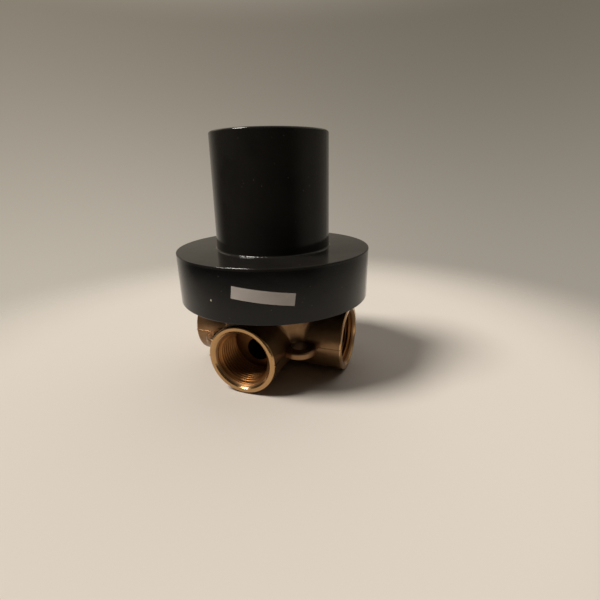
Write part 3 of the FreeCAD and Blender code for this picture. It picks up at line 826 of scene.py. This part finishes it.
class VALVE_OT_stage(bpy.types.Operator):
    """Lay the floor, light it and set the camera"""

    bl_idname = "valve.stage"
    bl_label = "Floor, lights and camera"

    def execute(self, context):
        stage = context.scene.valve_stage
        self.lay_floor(stage)
        self.light_room(context.scene, stage)
        self.add_sun("sun", stage.sunlight, stage.sun_spread, stage.sun_height,
                     stage.eye_round + stage.sun_round, stage.sun_tint)
        bounce = self.add_sun("bounced_light", stage.bounce, stage.bounce_spread,
                              stage.bounce_height, stage.eye_round + stage.bounce_round,
                              stage.sun_tint)
        bounce.visible_glossy = False
        self.set_camera(context.scene, stage)
        return {"FINISHED"}

    def lay_floor(self, stage):
        """A round floor whose edge fades into the room."""
        edge_end = stage.floor_reach + stage.floor_edge / 2
        floor = new_piece("floor", bpy.ops.mesh.primitive_circle_add, vertices=96,
                          radius=edge_end, fill_type="NGON")
        finish = Finish("pale_floor", Roughness=0.85, Specular_IOR_Level=0.15,
                        Base_Color=opaque(stage.floor))
        x, y, _ = finish.axes()
        finish.shade(Alpha=across(x, y).below(stage.floor_reach, blur=stage.floor_edge))
        put_on(["floor"], finish)

    def light_room(self, scene, stage):
        """A wall behind the object and shade before it.

        Both are seen and mirrored in full, but give only a share of their brightness as light.
        Levels and blurs are in lengths of the unit vector along a ray.
        """
        scene.world = bpy.data.worlds.new("room")
        scene.world.use_nodes = True
        room = Wiring(scene.world.node_tree)
        direction = room.node("ShaderNodeTexCoord", output="Generated")
        x, y, z = room.node("ShaderNodeSeparateXYZ", None, {0: direction}, output=None)
        shade_from = stage.eye_round + stage.shade_round
        forwards = y * math.cos(shade_from) - x * math.sin(shade_from)
        sideways = x * math.cos(stage.eye_round) + y * math.sin(stage.eye_round)
        wall = room.blend(z.above(0.02, blur=0.75), stage.wall, stage.wall_top)
        wall = room.blend(z.above(0.40, blur=0.24), wall, stage.ceiling)
        wall = room.blend(sideways.above(0.0, blur=1.2) * stage.wall_fall, wall, BLACK)
        seen = room.blend(forwards.above(0.0, blur=0.75), stage.shade, wall)
        path = room.node("ShaderNodeLightPath", output=None)
        rays = {number.socket.name: number for number in path}
        visible = rays["Is Camera Ray"].larger(rays["Is Glossy Ray"])
        visible = visible.larger(rays["Is Transmission Ray"])
        seen = room.blend((1.0 - visible) * (1.0 - stage.room_light), seen, BLACK)
        room.feed(room.tree.nodes["Background"], {"Color": seen, "Strength": 1.0})

    def add_sun(self, name, strength, spread, height, round_spindle, tint):
        """A far lamp as wide as its spread, standing at a height and round the spindle."""
        deselect()
        bpy.ops.object.light_add(type="SUN", location=(0.0, 0.0, 1.0))
        sun = bpy.context.active_object
        sun.name = name
        sun.data.energy = strength
        sun.data.angle = spread
        sun.data.color = tint
        sun.rotation_euler = (math.pi / 2 - height, 0.0, round_spindle)
        return sun

    def set_camera(self, scene, stage):
        """A camera that stands where the stage says, pans, tilts and leans."""
        deselect()
        bpy.ops.object.camera_add()
        camera = bpy.context.active_object
        camera.name = "camera"
        camera.data.sensor_width = SENSOR_WIDTH
        camera.data.lens = stage.lens
        camera.data.clip_start = 10 * MM
        camera.data.clip_end = FARTHEST_SEEN
        before_inlet = Vector((0.0, -stage.eye_distance, stage.eye_height))
        place = Matrix.Rotation(stage.eye_round, 4, "Z") @ before_inlet
        camera.matrix_world = (Matrix.Translation(place)
                               @ Matrix.Rotation(stage.eye_round + stage.pan, 4, "Z")
                               @ Matrix.Rotation(math.pi / 2 - stage.tilt, 4, "X")
                               @ Matrix.Rotation(stage.roll, 4, "Z"))
        scene.camera = camera
        scene.view_settings.view_transform = "Standard"


OPERATORS = (VALVE_OT_casting, VALVE_OT_mould_seam, VALVE_OT_threads, VALVE_OT_guard,
             VALVE_OT_cartridge, VALVE_OT_stage)
GROUPS = {"valve_mouths": MouthSizes, "valve_threads": ThreadSizes, "valve_seam": SeamSizes,
          "valve_finishes": Finishes, "valve_stage": StageSizes}


class VALVE_PT_panel(bpy.types.Panel):
    """The operators in the order in which they run"""

    bl_idname = "VALVE_PT_panel"
    bl_label = "Shower transfer valve"
    bl_space_type = "VIEW_3D"
    bl_region_type = "UI"
    bl_category = "Valve"

    def draw(self, context):
        for operator in OPERATORS:
            self.layout.operator(operator.bl_idname)
        for group in GROUPS:
            settings = getattr(context.scene, group)
            box = self.layout.box()
            for key in settings.bl_rna.properties.keys():
                if key not in ("rna_type", "name"):
                    box.prop(settings, key)


def register():
    """Registers the groups, the operators and the panel."""
    for group in GROUPS.values():
        bpy.utils.register_class(group)
    for name, group in GROUPS.items():
        setattr(bpy.types.Scene, name, PointerProperty(type=group))
    for operator in OPERATORS:
        bpy.utils.register_class(operator)
    bpy.utils.register_class(VALVE_PT_panel)


def unregister():
    """Takes them out again, last first."""
    bpy.utils.unregister_class(VALVE_PT_panel)
    for operator in reversed(OPERATORS):
        bpy.utils.unregister_class(operator)
    for name in GROUPS:
        delattr(bpy.types.Scene, name)
    for group in reversed(list(GROUPS.values())):
        bpy.utils.unregister_class(group)


def main():
    """Runs every operator in order."""
    register()
    bpy.ops.valve.casting()
    bpy.ops.valve.mould_seam()
    bpy.ops.valve.threads()
    bpy.ops.valve.guard()
    bpy.ops.valve.cartridge()
    bpy.ops.valve.stage()


if __name__ == "__main__":
    main()
